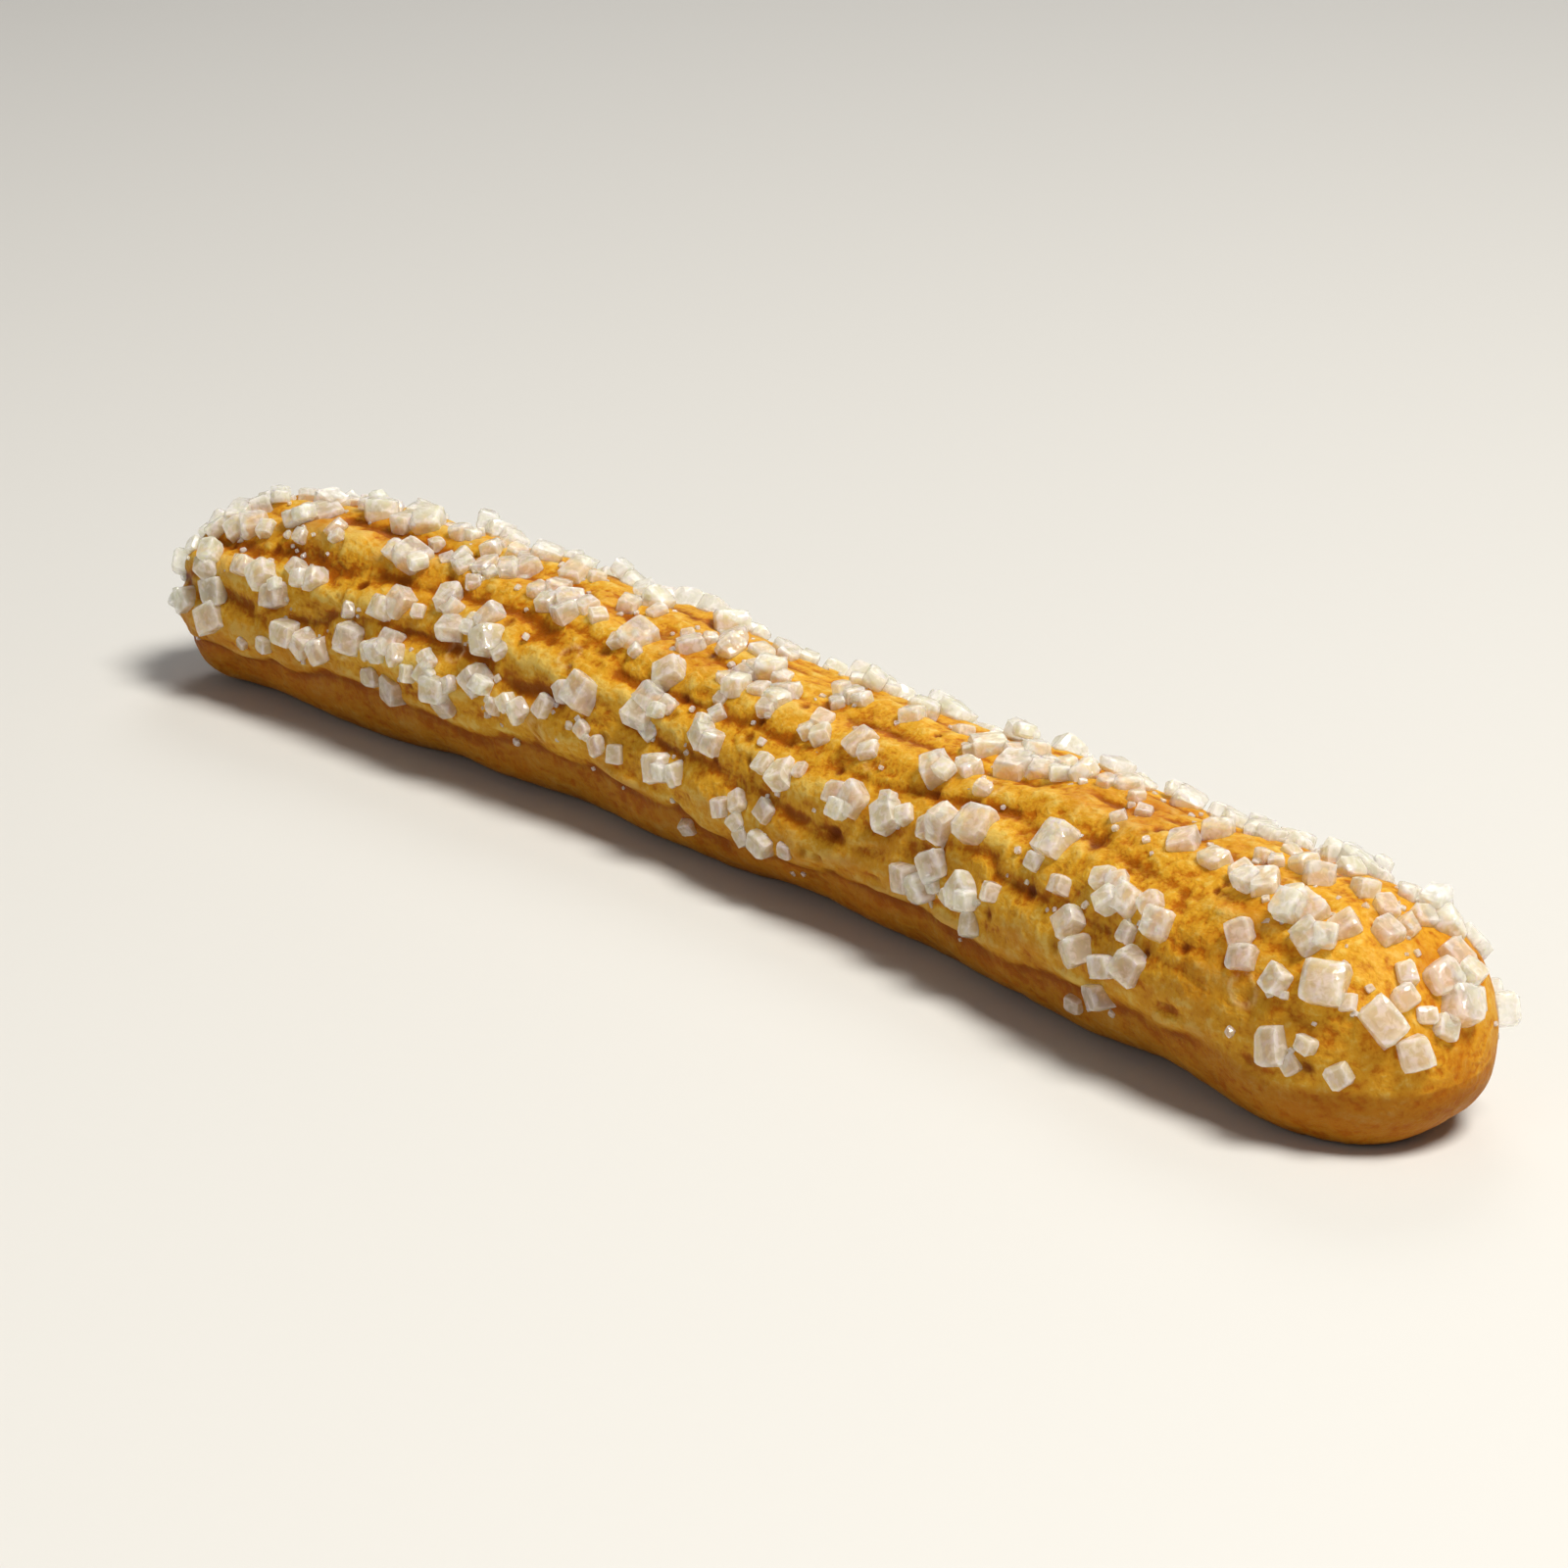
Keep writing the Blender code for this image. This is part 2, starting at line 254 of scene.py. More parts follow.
def spreadSugar(count):
    # places (x, turn, size, lift) of the crystals, the largest first: most near a clump's middle,
    # the others anywhere, drawn again where two would come too close
    draw = np.random.RandomState(sugar["seed"])
    sizes = sugar["largest"] * np.exp(-sugar["decay"] * np.arange(count))
    reach = finger["length"] / 2 - sugar["fromTip"]
    first, last = sugar["turns"]
    clumps = clumpPlaces(draw, reach)
    placed = []
    spots = np.empty((0, 3))
    while len(placed) < count:
        if draw.uniform() < sugar["clumpedShare"]:
            middle = clumps[int(len(clumps) * draw.uniform() ** sugar["clumpBias"])]
            x, turn = middle + draw.normal(size=2) * sugar["clumpSpread"]
        else:
            x, turn = draw.uniform((-reach, first), (reach, last))
            if ridges["start"] < turn < ridges["end"]:
                turn += sugar["crestPull"] * (crestNear(turn) - turn)
        if abs(x) > reach or not first < turn < last:
            continue
        spot = ridgedSurface(x, turn)
        size = sizes[len(placed)]
        others = sizes[: len(placed)]
        gaps = np.linalg.norm(spots - spot, axis=1) / (size + others)
        if (gaps < sugar["closest"]).any():
            continue
        below = others[gaps < sugar["stacked"]] if len(placed) >= sugar["solidCount"] else []
        placed.append((x, turn, size, sugar["lift"] * max(below, default=0)))
        spots = np.vstack([spots, spot])
    return np.array(placed)


def crystalFrames(places, seed):
    # each crystal's middle, its three axes scaled to its half sides, and its corners' jitter:
    # turned at random about the crust's normal and leaning a little
    draw = np.random.RandomState(seed)
    count = len(places)
    x, turn, size, lift = places.T
    normal = outward(x, turn)
    spin = draw.uniform(0, math.pi, (count, 1))
    lean = draw.normal(0, sugar["lean"], (count, 2))
    sides = draw.uniform(*sugar["sides"], (count, 3)) / 2
    jitter = draw.uniform(-sugar["jitter"], sugar["jitter"], (count, 2, 2, 2, 3))
    first = np.cross(normal, (0.0, 0.6, 0.8))
    first = first / np.linalg.norm(first, axis=1, keepdims=True)
    second = np.cross(normal, first)
    along = first * np.cos(spin) + second * np.sin(spin) + normal * lean[:, :1]
    along = along / np.linalg.norm(along, axis=1, keepdims=True)
    aside = np.cross(normal + first * lean[:, 1:], along)
    aside = aside / np.linalg.norm(aside, axis=1, keepdims=True)
    upright = np.cross(along, aside)
    axes = np.stack([along, aside, upright], axis=1) * (sides * size[:, None])[:, :, None]
    middle = ridgedSurface(x, turn) + normal * (sugar["stand"] * sides[:, 2] * size + lift)[:, None]
    return middle, axes, jitter


crystalSpots = spreadSugar(sugar["count"])
print("sugar placed:", len(crystalSpots), "crystals")


# The crust

crust = {
    "rows": 540,                  # along the stick
    "columns": 180,               # round it, of which
    "pipedColumns": 138,          # this many lie on the ridged side
    "pipedMargin": 9.0,           # degrees by which that side is taken wider than its ridges
    "smoothEnd": (56 * mm, 68 * mm),         # where the blunt end grows smoother
    "lumps": 0.27 * mm,           # heights of the relief, from coarse to fine
    "flankLumps": 0.20 * mm,
    "fibres": 0.07 * mm,
    "crumbs": 0.11 * mm,
    "wrinkles": 0.10 * mm,
    "furrow": 0.06 * mm,          # how much deeper the furrows are cut than in the solid
    "bridge": 0.45 * mm,          # and how far dough fills them in places
    "lipScallop": 4.0,            # degrees by which the lip hangs down in folds
    "lipStep": 0.18 * mm,         # how much further than the solid's the lip stands out
    "hang": 0.07,                 # and the furrows, in ridge widths
    "foldLength": 6.0 * mm,
    "pits": 170,
    "pitSize": (0.25 * mm, 0.62 * mm),
    "pitDepth": 0.24 * mm,
    "scars": 26,                  # where a crystal has come off
    "scarSize": (0.7 * mm, 1.15 * mm),
    "scarDepth": 0.08 * mm,
    "rimHeight": 0.06 * mm,       # of the film of sugar left round a scar
    "cracks": 6,
    "crackLength": (9.0, 17.0),   # degrees, half of it
    "crackWidth": 0.22 * mm,
    "crackDepth": 0.18 * mm,
    "stainReach": 0.62,           # in crystal sizes
    "pressed": 0.9,               # share of the fine relief that is gone under a crystal
    "tipFade": 1.6 * mm,          # length over which all relief fades out at a tip
    "contrast": 0.5 * mm,         # height between the darkest and the lightest crust
    "brownEnd": 16 * mm,          # length over which the ends grow browner
    "seed": 7,
}


def doughSpace(x, turn):
    # the dough's own space: the stick straightened to a round bar, so patterns follow the piping
    around = np.radians(turn)
    x, around = np.broadcast_arrays(x, around)
    return np.stack([x, barRadius * np.cos(around), barRadius * np.sin(around)], axis=-1)


def spacedRows(count):
    # places along the stick whose steps are equal along the outline seen from above
    x = np.linspace(-1, 1, 4001)
    x = np.sin(x * math.pi / 2) * finger["length"] / 2
    outline = stickSurface(x, 0.0)[:, :2]
    steps = np.linalg.norm(np.diff(outline, axis=0), axis=1)
    travelled = np.concatenate([[0], np.cumsum(steps)])
    return np.interp(np.linspace(0, travelled[-1], count), travelled, x)


def spacedTurns():
    # turns round the stick, closer on the ridged side
    first, last = ridges["start"] - crust["pipedMargin"], ridges["end"] + crust["pipedMargin"]
    others = crust["columns"] - crust["pipedColumns"]
    piped = np.linspace(first, last, crust["pipedColumns"], endpoint=False)
    return np.concatenate([piped, np.linspace(last, first + 360, others, endpoint=False)])


def stamp(x, turn, spots, sizes, shape):
    # adds shape(distance / size) round each spot, measured over the dough's surface
    total = np.zeros((len(x), len(turn)))
    for (spotX, spotTurn), size in zip(spots, sizes):
        near = slice(*np.searchsorted(x, (spotX - 3 * size, spotX + 3 * size)))
        away = (turn - spotTurn + 180) % 360 - 180
        aside = np.radians(away) * barRadius
        distance = np.hypot(x[near, None] - spotX, aside[None, :]) / size
        total[near] += shape(distance)
    return total


def drawSpots(draw, count, sizes):
    # random places on the ridged side, short of the tips, each with a size
    tip = finger["length"] / 2 - 3 * mm
    spots = draw.uniform((-tip, ridges["start"]), (tip, ridges["end"]), (count, 2))
    return spots, draw.uniform(*sizes, count)


def foldArcs(x, side):
    # dough sagging in folds of changing length: the size of a noise along the stick, about 0
    line = np.stack(np.broadcast_arrays(x, side * 40 * mm, 0 * x), axis=-1)
    return 1.8 * np.abs(latticeNoise(line, crust["foldLength"], 31)) - 0.6


def pipedRelief(x, turn, dough):
    # the ridges as the solid has them, with their furrows and the lip drawn down in folds on each
    # side; returns the relief, the ridges' wave (0 in a furrow, 1 on a crest) and the piped mask
    hang = foldArcs(x, np.round((turn - ridges["start"]) / pitch))
    nearSide = 2 * smoothStep(60, 120, turn) - 1
    bend = 0.10 * latticeNoise(dough * (0.5, 1, 1), 3.1 * mm, 51) - crust["hang"] * nearSide * hang
    phase = (turn - ridges["start"]) / pitch + bend
    wave = np.abs(np.sin(math.pi * phase))
    crest = 0.65 * np.sqrt(wave**2 + 0.04) + 0.35 * wave**2
    drop = crust["lipScallop"] * hang
    mask = smoothStep(ridges["start"] - drop - 6.0, ridges["start"] - drop + 2.0, turn)
    mask = mask * smoothStep(ridges["end"] + drop + 6.0, ridges["end"] + drop - 2.0, turn)
    edge = (smoothStep(158, 182, turn) + smoothStep(22, -2, turn)) * smoothStep(60 * mm, 44 * mm, x)
    strength = ridgeStrength(x, phase)
    relief = mask * (ridges["depth"] * strength * crest + crust["lipStep"] * edge)
    return relief + lipRelief(x, mask), wave, mask


def crustRelief(x, turn):
    # ridges and everything finer: lumps, bridges over the furrows, fibres drawn out along the
    # piping, crumbs, pits, scars and cracks; returns the relief and the masks the colours need
    rows, columns = x[:, None], turn[None, :]
    dough = doughSpace(rows, columns)
    draw = np.random.RandomState(crust["seed"])
    relief, wave, piped = pipedRelief(rows + 0 * columns, columns + 0 * rows, dough)
    rough = piped * (1 - 0.45 * smoothStep(*crust["smoothEnd"], rows))
    bridged = smoothStep(-0.10, 0.40, latticeNoise(dough * (0.7, 1, 1), 3.6 * mm, 61))
    furrow = np.exp(-((wave / 0.24) ** 2)) * rough
    relief = relief + rough * crust["lumps"] * roughNoise(dough * (0.6, 1, 1), 2.4 * mm, 3, 71)
    relief = relief + crust["flankLumps"] * roughNoise(dough, 4.0 * mm, 3, 81)
    relief = relief - crust["furrow"] * furrow * (1 - bridged)
    relief = relief + crust["bridge"] * bridged * rough * (1 - smoothStep(0.0, 0.7, wave))
    fibres = roughNoise(dough * (0.14, 1, 1), 0.62 * mm, 2, 91)
    crumbs = roughNoise(dough, 0.85 * mm, 3, 101)
    wrinkles = (1 - np.abs(roughNoise(dough * (0.35, 1, 1), 1.5 * mm, 2, 121))) ** 5
    relief = relief - crust["wrinkles"] * wrinkles * (0.15 + 0.85 * rough)
    relief = relief + crust["fibres"] * fibres * (0.35 + 0.65 * rough)
    relief = relief + crust["crumbs"] * crumbs * (0.45 + 0.55 * rough)
    spots, sizes = drawSpots(draw, crust["pits"], crust["pitSize"])
    pits = stamp(x, turn, spots, sizes, lambda far: np.exp(-far**4))
    spots, sizes = drawSpots(draw, crust["scars"], crust["scarSize"])
    scars = stamp(x, turn, spots, sizes, lambda far: np.exp(-far**4))
    rims = stamp(x, turn, spots, sizes, lambda far: np.exp(-(((far - 1.05) / 0.16) ** 2)))
    cracks = np.zeros_like(relief)
    spots, lengths = drawSpots(draw, crust["cracks"], crust["crackLength"])
    for (spotX, spotTurn), length in zip(spots, lengths):
        line = spotX + 0.9 * mm * latticeNoise(dough * (0, 1, 1), 1.3 * mm, 111)
        along = np.exp(-(((columns - spotTurn) / length) ** 4))
        cracks = np.maximum(cracks, along * np.exp(-(((rows - line) / crust["crackWidth"]) ** 2)))
    relief = relief - crust["pitDepth"] * pits - crust["crackDepth"] * cracks
    relief = relief - crust["scarDepth"] * scars + crust["rimHeight"] * rims
    # where the material paints shade: pits, scars, cracks and the furrows that no dough bridges
    hollow = np.clip(0.8 * pits + 0.4 * scars + cracks + 0.2 * furrow * (1 - bridged), 0, 1)
    return relief, {"hollow": hollow, "rim": np.clip(rims, 0, 1), "piped": piped}


def closedSkin(name, points):
    # a mesh from a grid of points: closed round the columns, the first and last row each one point
    rows, columns = points.shape[:2]
    ring = np.arange(columns)
    after = np.roll(ring, -1)
    inner = 1 + columns * np.arange(rows - 2)[:, None]
    low, high = inner[:-1], inner[1:]
    quads = np.stack([low + ring, low + after, high + after, high + ring], axis=-1).reshape(-1, 4)
    last = 1 + columns * (rows - 2)
    start = np.stack([np.zeros(columns, int), 1 + after, 1 + ring], axis=-1)
    end = np.stack([np.full(columns, last), last - columns + ring, last - columns + after], axis=-1)
    places = np.concatenate([points[0, :1], points[1:-1].reshape(-1, 3), points[-1, :1]])
    return faceMesh(name, places, [start, quads, end])


def faceMesh(name, places, faceSets):
    # a mesh filled from whole arrays: points, and one array of faces for each number of corners
    mesh = bpy.data.meshes.new(name)
    corners = np.concatenate([faces.ravel() for faces in faceSets])
    sizes = np.concatenate([np.full(len(faces), faces.shape[1]) for faces in faceSets])
    mesh.vertices.add(len(places))
    mesh.vertices.foreach_set("co", places.astype(np.float32).ravel())
    mesh.loops.add(len(corners))
    mesh.loops.foreach_set("vertex_index", corners.astype(np.int32))
    mesh.polygons.add(len(sizes))
    mesh.polygons.foreach_set("loop_start", np.concatenate([[0], np.cumsum(sizes)[:-1]]).astype(np.int32))
    mesh.update(calc_edges=True)
    mesh.validate()
    mesh.shade_smooth()
    made = bpy.data.objects.new(name, mesh)
    bpy.context.scene.collection.objects.link(made)
    return made


def giveAttribute(piece, name, values):
    # one number for each point, for the material to read
    layer = piece.data.attributes.new(name, "FLOAT", "POINT")
    layer.data.foreach_set("value", values.astype(np.float32).ravel())


def skinValues(grid):
    # a grid of values in the order of closedSkin's points
    return np.concatenate([grid[0, :1], grid[1:-1].ravel(), grid[-1, :1]])


def blurred(grid, reach):
    # mean over a square of the grid, closed round the columns
    total = sum(np.roll(grid, step, axis=1) for step in range(-reach, reach + 1))
    padded = np.pad(total, ((reach, reach), (0, 0)), mode="edge")
    total = sum(padded[step : step + len(grid)] for step in range(2 * reach + 1))
    return total / (2 * reach + 1) ** 2


def sugarStain(points, x, spots):
    # how near the crust is to sugar: 1 under a crystal, fading over its size
    nearness = np.zeros(points.shape[:2])
    middles = ridgedSurface(spots[:, 0], spots[:, 1])
    for middle, size in zip(middles, spots[:, 2]):
        reach = size * crust["stainReach"]
        rows = slice(*np.searchsorted(x, (middle[0] - 2 * reach, middle[0] + 2 * reach)))
        distance = np.linalg.norm(points[rows] - middle, axis=-1) / reach
        nearness[rows] = np.maximum(nearness[rows], np.exp(-(distance**2)))
    return nearness


def makeCrust():
    # under the sugar the relief keeps to the solid's, on which the crystals stand
    x = spacedRows(crust["rows"])
    turn = spacedTurns()
    rows, columns = x[:, None], turn[None, :]
    relief, masks = crustRelief(x, turn)
    stain = sugarStain(ridgedSurface(rows, columns), x, crystalSpots)
    relief = relief + crust["pressed"] * stain * (ridgeRelief(rows, columns) - relief)
    tip = finger["length"] / 2
    relief = relief * smoothStep(0, crust["tipFade"], tip - np.abs(rows))
    skin = closedSkin("chouxCrust", stickSurface(rows, columns, relief))
    # the crust's height over its surroundings, which the material reads to paint highlight on raised
    # crust and shade on low crust, and to brown the crests a little
    local = np.clip((relief - blurred(relief, 5)) / crust["contrast"] + 0.5, 0, 1)
    ends = smoothStep(tip - crust["brownEnd"], tip, np.abs(rows)) + 0 * columns
    masks = {"raised": local, **masks, "stain": stain, "ends": ends}
    for name, values in masks.items():
        giveAttribute(skin, name, skinValues(values))
    return skin


# The crystals

def blockLattice(levels):
    # points and quads of a cube's surface, cut at the same levels along each axis
    count = len(levels)
    grid = np.stack(np.meshgrid(levels, levels, levels, indexing="ij"), axis=-1)
    onSkin = (np.abs(grid) == 1).any(axis=-1)
    index = np.full(onSkin.shape, -1)
    index[onSkin] = np.arange(onSkin.sum())
    quads = []
    for axis in range(3):
        for side in (0, count - 1):
            sheet = np.moveaxis(index, axis, 0)[side]
            quad = np.stack([sheet[:-1, :-1], sheet[1:, :-1], sheet[1:, 1:], sheet[:-1, 1:]], axis=-1)
            pointsOut = (side > 0) != (axis == 1)
            quads.append(quad.reshape(-1, 4) if pointsOut else quad.reshape(-1, 4)[:, ::-1])
    return grid[onSkin], np.concatenate(quads)


def blockMesh(name, levels, frames, rounding, seed):
    # rounded blocks: each lattice point is pulled to the inner box and pushed out by the rounding,
    # moved by the blend of the eight corners' jitter and a wobble of its own, pressed back to the
    # planes that chop it, then carried by the block's axes
    middle, axes, jitter = frames
    lattice, quads = blockLattice(levels)
    draw = np.random.RandomState(seed)
    core = np.clip(lattice, -(1 - rounding), 1 - rounding)
    out = lattice - core
    shape = core + rounding * out / np.linalg.norm(out, axis=-1, keepdims=True)
    shape = shape + draw.normal(0, sugar["wobble"], shape.shape)
    for corner in np.ndindex(2, 2, 2):
        side = np.array(corner) * 2 - 1
        weight = np.prod((1 + side * lattice) / 2, axis=-1)
        shape = shape + weight[:, None] * jitter[:, corner[0], corner[1], corner[2]][:, None, :]
    for _ in range(sugar["chops"]):
        chop = draw.normal(size=(len(middle), 1, 3))
        chop = chop / np.linalg.norm(chop, axis=-1, keepdims=True)
        depth = draw.uniform(*sugar["chop"], (len(middle), 1, 1))
        shape = shape - chop * np.maximum((shape * chop).sum(-1, keepdims=True) - depth, 0)
    places = shape @ axes + middle[:, None, :]
    shifted = quads + len(lattice) * np.arange(len(places))[:, None, None]
    piece = faceMesh(name, places.reshape(-1, 3), [shifted.reshape(-1, 4)])
    piece.data.set_sharp_from_angle(angle=math.radians(sugar["sharpFrom"]))
    onEdge = (np.abs(lattice) == 1).sum(axis=-1) > 1
    giveAttribute(piece, "edge", np.tile(onEdge, len(places)))
    giveAttribute(piece, "tone", np.repeat(draw.uniform(0, 1, len(places)), len(lattice)))
    return piece


def makeCrystals():
    # the crystals of the solid and the smaller ones, from the same rule, as one mesh
    big, small = np.split(crystalSpots, [sugar["solidCount"]])
    parts = crystalFrames(big, sugar["seed"] + 1), crystalFrames(small, sugar["seed"] + 2)
    frames = [np.concatenate(pair) for pair in zip(*parts)]
    draw = np.random.RandomState(sugar["seed"] + 3)
    rounding = draw.uniform(*sugar["rounding"], (len(crystalSpots), 1, 1))
    return blockMesh("sugarCrystals", (-1.0, -0.55, 0.55, 1.0), frames, rounding, sugar["seed"] + 6)


def makeGrains():
    # small grains, most of them beside a crystal, the others strewn over the piped side
    draw = np.random.RandomState(sugar["seed"] + 4)
    count = sugar["grains"]
    beside = crystalSpots[draw.randint(len(crystalSpots), size=count)]
    reach = beside[:, 2] * draw.uniform(*sugar["grainReach"], count)
    way = draw.uniform(0, 2 * math.pi, count)
    x = beside[:, 0] + reach * np.cos(way)
    turn = beside[:, 1] + np.degrees(reach * np.sin(way) / barRadius)
    tip = finger["length"] / 2 - 1.0 * mm
    loose = draw.uniform(size=count) < sugar["looseGrains"]
    x = np.where(loose, draw.uniform(-tip, tip, count), np.clip(x, -tip, tip))
    turn = np.where(loose, draw.uniform(*sugar["turns"], count), turn)
    size = sugar["grainSizes"][0] + np.ptp(sugar["grainSizes"]) * draw.uniform(size=count) ** 2
    frames = crystalFrames(np.stack([x, turn, size, 0 * x], axis=-1), sugar["seed"] + 5)
    rounding = np.full((count, 1, 1), sugar["grainRounding"])
    return blockMesh("sugarGrains", (-1.0, 0.0, 1.0), frames, rounding, sugar["seed"] + 7)


# Materials

class Wire:
    # a shader socket that can be written in sums, differences and products
    def __init__(self, paint, socket):
        self.paint = paint
        self.socket = socket

    def sum(self, operation, first, second, clamp=False):
        settings = {"operation": operation, "use_clamp": clamp}
        return self.paint.node("ShaderNodeMath", settings, {0: first, 1: second})

    def __add__(self, other):
        return self.sum("ADD", self, other)

    def __radd__(self, other):
        return self.sum("ADD", other, self)

    def __sub__(self, other):
        return self.sum("SUBTRACT", self, other)

    def __rsub__(self, other):
        return self.sum("SUBTRACT", other, self)

    def __mul__(self, other):
        return self.sum("MULTIPLY", self, other)

    def __rmul__(self, other):
        return self.sum("MULTIPLY", other, self)

    def clamped(self):
        return self.sum("ADD", self, 0.0, clamp=True)


class Paint:
    # one material under construction
    def __init__(self, name):
        self.material = bpy.data.materials.new(name)
        self.material.use_nodes = True
        self.tree = self.material.node_tree
        self.tree.nodes.clear()

    def node(self, kind, settings, sockets, out=0):
        made = self.tree.nodes.new(kind)
        for name, value in settings.items():
            setattr(made, name, value)
        for name, value in sockets.items():
            if isinstance(value, Wire):
                self.tree.links.new(value.socket, made.inputs[name])
            else:
                made.inputs[name].default_value = value
        return Wire(self, made.outputs[out]) if made.outputs else None

    def place(self):
        return self.node("ShaderNodeTexCoord", {}, {}, "Object")

    def stretched(self, scale):
        return self.node("ShaderNodeMapping", {}, {"Vector": self.place(), "Scale": scale})

    def attribute(self, name):
        return self.node("ShaderNodeAttribute", {"attribute_name": name}, {}, "Fac")

    def noise(self, vector, size, detail=3.0, roughness=0.5, distortion=0.0):
        # size is the pattern's size in metres
        sockets = {"Vector": vector, "Scale": 1 / size, "Detail": detail, "Roughness": roughness,
                   "Distortion": distortion}
        return self.node("ShaderNodeTexNoise", {}, sockets, 0)

    def cells(self, vector, size):
        # how far off the nearest of randomly strewn points is, in sizes
        sockets = {"Vector": vector, "Scale": 1 / size}
        return self.node("ShaderNodeTexVoronoi", {"feature": "F1"}, sockets, 0)

    def spread(self, value, low, high):
        # stretches low..high to 0..1
        sockets = {"Value": value, "From Min": low, "From Max": high}
        return self.node("ShaderNodeMapRange", {"interpolation_type": "SMOOTHSTEP"}, sockets)

    def mix(self, share, first, second):
        first, second = [(*c, 1.0) if isinstance(c, tuple) else c for c in (first, second)]
        return self.node("ShaderNodeMix", {"data_type": "RGBA"}, {0: share, 6: first, 7: second}, 2)

    def bump(self, height, distance, strength, below=None):
        sockets = {"Height": height, "Distance": distance, "Strength": strength}
        if below is not None:
            sockets["Normal"] = below
        return self.node("ShaderNodeBump", {}, sockets)

    def finish(self, sockets):
        shader = self.node("ShaderNodeBsdfPrincipled", {}, sockets)
        self.node("ShaderNodeOutputMaterial", {}, {"Surface": shader})
        return self.material


crustLook = {
    "gold": (0.610, 0.305, 0.018),
    "yellow": (0.680, 0.460, 0.100),
    "honey": (0.400, 0.110, 0.001),
    # the painted shade of the smooth flanks and the underside
    "flank": (0.265, 0.066, 0.000),
    # the painted shade of hollows and low spots
    "shadeBrown": (0.140, 0.025, 0.000),
    "caramel": (0.480, 0.160, 0.016),
    "film": (0.840, 0.660, 0.420),
    "blotchSize": 9 * mm,         # sizes of the patterns
    "mottleSize": 1.9 * mm,
    "fibreSize": 0.70 * mm,
    "crumbSize": 0.45 * mm,
    "mottleDepth": 0.30 * mm,     # and their depths as bumps
    "fibreDepth": 0.12 * mm,
    "crumbDepth": 0.14 * mm,
    "soft": 0.15,                 # how much light goes through the crust's surface
    "softScale": 1.2 * mm,
}


def crustMaterial():
    paint = Paint("bakedChoux")
    look = crustLook
    raised, hollow = paint.attribute("raised"), paint.attribute("hollow")
    stain, rim = paint.attribute("stain"), paint.attribute("rim")
    piped, ends = paint.attribute("piped"), paint.attribute("ends")
    blotches = paint.noise(paint.stretched((0.7, 1, 1)), look["blotchSize"], 4.0, 0.6)
    mottle = paint.noise(paint.place(), look["mottleSize"], 4.0, 0.62, 0.6)
    fibre = paint.noise(paint.stretched((0.40, 1, 1)), look["fibreSize"], 2.0, 0.55, 0.3)
    crumb = paint.noise(paint.place(), look["crumbSize"], 2.0, 0.6)
    # the tone follows random mottle and also the crust's height: raised crust turns yellow as painted
    # highlight, low crust turns honey as painted shade
    tone = raised * 0.50 + mottle * 0.60 + fibre * 0.50 + crumb * 0.55 - 0.62
    colour = paint.mix(paint.spread(tone, 0.20, 0.52), look["honey"], look["gold"])
    colour = paint.mix(paint.spread(tone, 0.48, 0.76) * 0.95, colour, look["yellow"])
    # painted shade: away from the piped side the flanks and the underside darken towards a deep brown, as
    # if turned from the light
    colour = paint.mix((1.0 - piped) * 0.6, colour, look["flank"])
    browned = paint.spread(blotches + 0.18 * ends + 0.10 * raised, 0.52, 0.78) * (0.35 + 0.25 * piped)
    colour = paint.mix(browned, colour, look["honey"])
    # painted shade: the colour turns brown in pits, cracks, scars, open furrows and wherever the crust
    # lies lower than round it
    paintedShade = (hollow * 0.55 + paint.spread(raised, 0.40, 0.04) * 0.45).clamped()
    colour = paint.mix(paintedShade, colour, look["shadeBrown"])
    stained = paint.spread(stain + 0.45 * mottle, 0.70, 1.10)
    colour = paint.mix(stained * 0.5, colour, look["caramel"])
    colour = paint.mix(rim * paint.spread(mottle, 0.35, 0.55) * 0.25, colour, look["film"])
    rough = 0.62 - 0.16 * paint.spread(mottle, 0.35, 0.7) - 0.10 * stained
    relief = paint.bump(crumb, look["crumbDepth"], 0.7)
    relief = paint.bump(fibre, look["fibreDepth"], 0.7, relief)
    relief = paint.bump(mottle, look["mottleDepth"], 0.7, relief)
    return paint.finish({"Base Color": colour, "Roughness": rough, "Normal": relief,
                         "Subsurface Weight": look["soft"], "Subsurface Radius": (1.0, 0.45, 0.12),
                         "Subsurface Scale": look["softScale"], "Specular IOR Level": 0.10})


sugarLook = {
    "milk": (0.905, 0.96, 0.79),
    "cream": (0.90, 0.92, 0.71),
    "flaw": (0.96, 0.97, 0.90),
    "gloss": 1.0,
    "soft": 0.9,
    "softScale": 0.6 * mm,
    "cloudSize": 1.4 * mm,        # sizes of the patterns,
    "frostSize": 0.65 * mm,
    "chipSize": 0.9 * mm,
    "cloudDepth": 0.30 * mm,      # and their depths as bumps; the chips are small facets that glint
    "frostDepth": 0.10 * mm,
    "chipDepth": 0.18 * mm,
    "thin": 0.28,                 # how solid a clear face is
    "frosted": 0.16,              # and how much more so an edge,
    "rimmed": 0.14,               # a face seen aslant,
    "flawed": 0.12,               # a flaw inside
    "cloudy": 0.10,               # and a cloudy crystal
}


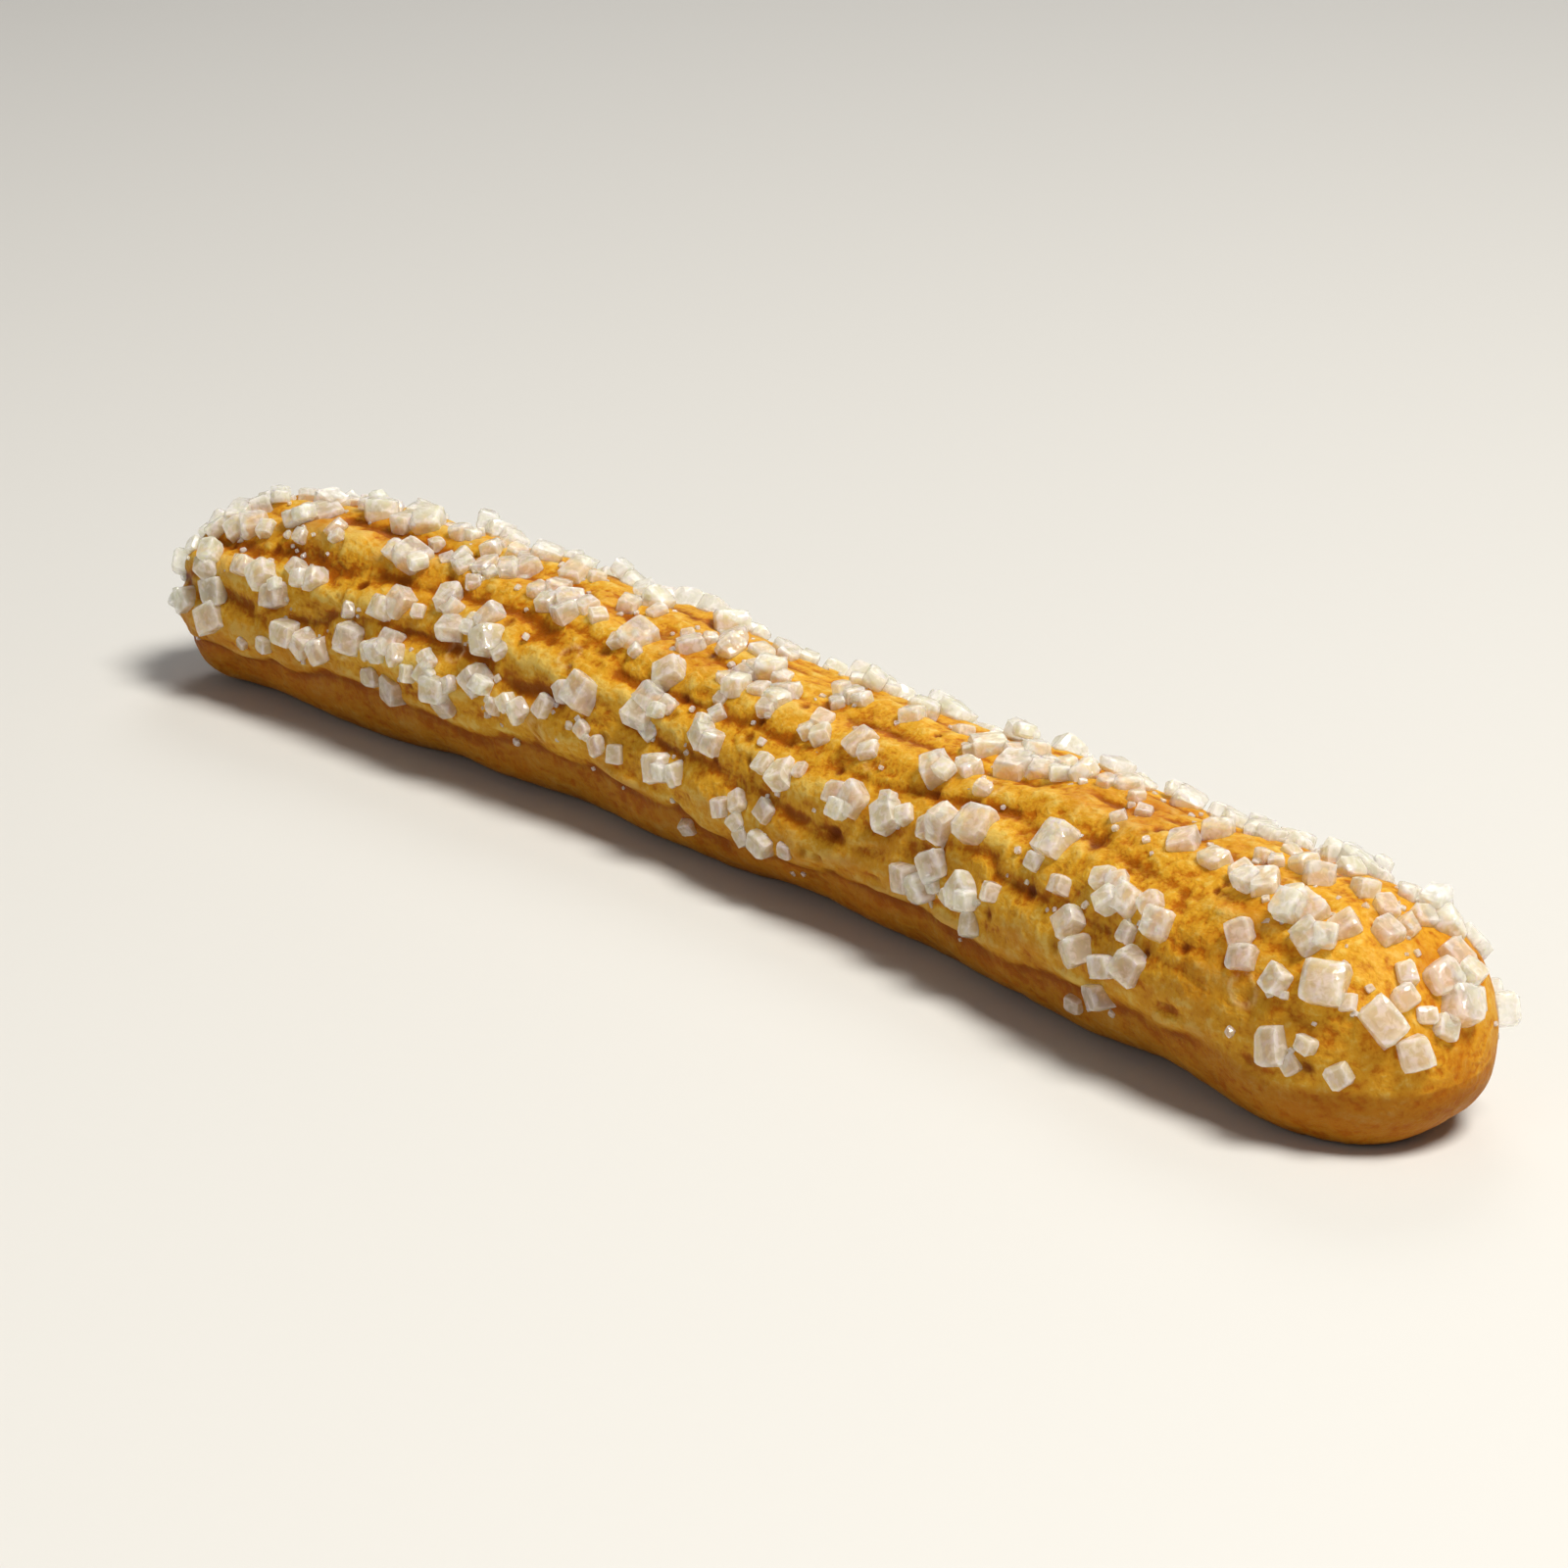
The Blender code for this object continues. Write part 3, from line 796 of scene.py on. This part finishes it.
def sugarMaterial(name):
    paint = Paint(name)
    look = sugarLook
    tone, edge = paint.attribute("tone"), paint.attribute("edge")
    cloud = paint.noise(paint.place(), look["cloudSize"], 2.0, 0.5, 0.8)
    frost = paint.noise(paint.place(), look["frostSize"], 2.0, 0.5, 0.6)
    flaw = paint.spread(frost + 0.25 * cloud, 0.54, 0.80)
    chips = paint.cells(paint.place(), look["chipSize"])
    relief = paint.bump(cloud, look["cloudDepth"], 0.45)
    relief = paint.bump(frost, look["frostDepth"], 0.5, relief)
    relief = paint.bump(chips, look["chipDepth"], 0.7, relief)
    aslant = paint.node("ShaderNodeLayerWeight", {}, {"Blend": 0.5, "Normal": relief}, "Facing")
    colour = paint.mix(paint.spread(tone + 0.5 * cloud, 0.55, 1.0), look["milk"], look["cream"])
    # whiter at the flaws inside each crystal, and along its edges as a painted highlight
    colour = paint.mix((flaw + edge * 0.4).clamped(), colour, look["flaw"])
    rough = 0.05 + 0.12 * paint.spread(cloud, 0.45, 0.75)
    solid = look["thin"] + look["frosted"] * edge + look["rimmed"] * aslant * aslant
    cloudy = paint.spread(tone + 0.4 * cloud, 0.45, 1.05)
    solid = solid + look["flawed"] * flaw + look["cloudy"] * cloudy
    return paint.finish({"Base Color": colour, "Roughness": rough, "Normal": relief,
                         "Alpha": solid.clamped(), "Specular IOR Level": look["gloss"],
                         "Subsurface Weight": look["soft"], "Subsurface Radius": (0.9, 0.95, 0.75),
                         "Subsurface Scale": look["softScale"]})


# Stage

studio = {
    "floor": (0.63, 0.625, 0.61),
    "fleck": (0.56, 0.55, 0.54),  # the floor's fine grain
    "world": 0.14,
    "lights": [                   # name, place, width, watts, colour
        ("keyLight", (0.42, 0.06, 0.75), 0.32, 9.8, (1.0, 0.96, 0.88)),
        ("fillLight", (0.15, -0.80, 0.30), 0.7, 0.85, (1.0, 0.96, 0.92)),
        ("backLight", (-0.45, 0.50, 0.60), 0.4, 1.6, (1.0, 0.98, 0.96)),
    ],
    "lightsAim": (0.0, 0.0, 0.01),
    "cameraAt": Vector((249.06, -207.19, 117.5)) * mm,
    "aim": Vector((1.5, 0.0, 7.0)) * mm,
    "lens": 98.0,                 # on a sensor 36 wide
}


def makeFloor():
    # a wide sheet that rises in a quarter circle behind: a profile carried sideways
    bend = np.radians(np.linspace(0, 90, 13))
    depth = np.concatenate([[-2.0], 1.6 + 0.5 * np.sin(bend), [2.1]])
    height = np.concatenate([[0.0], 0.5 - 0.5 * np.cos(bend), [2.2]])
    back = np.array([-0.77, 0.64])
    side = np.array([0.64, 0.77])
    wide = np.linspace(-3, 3, 9)
    flat = back * depth[:, None, None] + side * wide[None, :, None]
    points = np.concatenate([flat, np.repeat(height[:, None, None], len(wide), axis=1)], axis=-1)
    index = np.arange(points[..., 0].size).reshape(points.shape[:2])
    quads = np.stack([index[:-1, :-1], index[:-1, 1:], index[1:, 1:], index[1:, :-1]], axis=-1)
    floor = faceMesh("studioFloor", points.reshape(-1, 3), [quads.reshape(-1, 4)])
    paint = Paint("studioPaper")
    tooth = paint.noise(paint.place(), 2 * mm, 3.0, 0.5)
    colour = paint.mix(tooth * 0.06, studio["floor"], studio["fleck"])
    floor.data.materials.append(paint.finish({"Base Color": colour, "Roughness": 0.85}))


def areaLight(name, place, size, watts, colour):
    # a round lamp that looks at the stick
    light = bpy.data.lights.new(name, "AREA")
    light.shape = "DISK"
    light.size = size
    light.energy = watts
    light.color = colour
    lamp = bpy.data.objects.new(name, light)
    aim = Vector(studio["lightsAim"]) - Vector(place)
    lamp.matrix_world = Matrix.Translation(place) @ aim.to_track_quat("-Z", "Y").to_matrix().to_4x4()
    bpy.context.scene.collection.objects.link(lamp)


def makeLights():
    for lamp in studio["lights"]:
        areaLight(*lamp)
    world = bpy.data.worlds.new("studioAir")
    world.use_nodes = True
    sky = world.node_tree.nodes["Background"]
    sky.inputs["Color"].default_value = (1.0, 0.99, 0.97, 1.0)
    sky.inputs["Strength"].default_value = studio["world"]
    bpy.context.scene.world = world
    bpy.context.scene.view_settings.view_transform = "Standard"


def makeCamera():
    camera = bpy.data.cameras.new("photoView")
    camera.lens = studio["lens"]
    camera.sensor_width = 36.0
    camera.clip_start = 0.01
    eye = bpy.data.objects.new("photoView", camera)
    aim = studio["aim"] - studio["cameraAt"]
    turned = aim.to_track_quat("-Z", "Y").to_matrix().to_4x4()
    eye.matrix_world = Matrix.Translation(studio["cameraAt"]) @ turned
    bpy.context.scene.collection.objects.link(eye)
    bpy.context.scene.camera = eye


skin = makeCrust()
skin.data.materials.append(crustMaterial())
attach(skin, "root")
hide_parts("choux_stick")
print("crust:", len(skin.data.polygons), "faces")

crystals = makeCrystals()
crystals.data.materials.append(sugarMaterial("coarseSugar"))
grains = makeGrains()
grains.data.materials.append(sugarMaterial("fineSugar"))
for piece in (crystals, grains):
    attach(piece, "root")
    print(piece.name + ":", len(piece.data.polygons), "faces")

makeFloor()
makeLights()
makeCamera()
print("stage set")
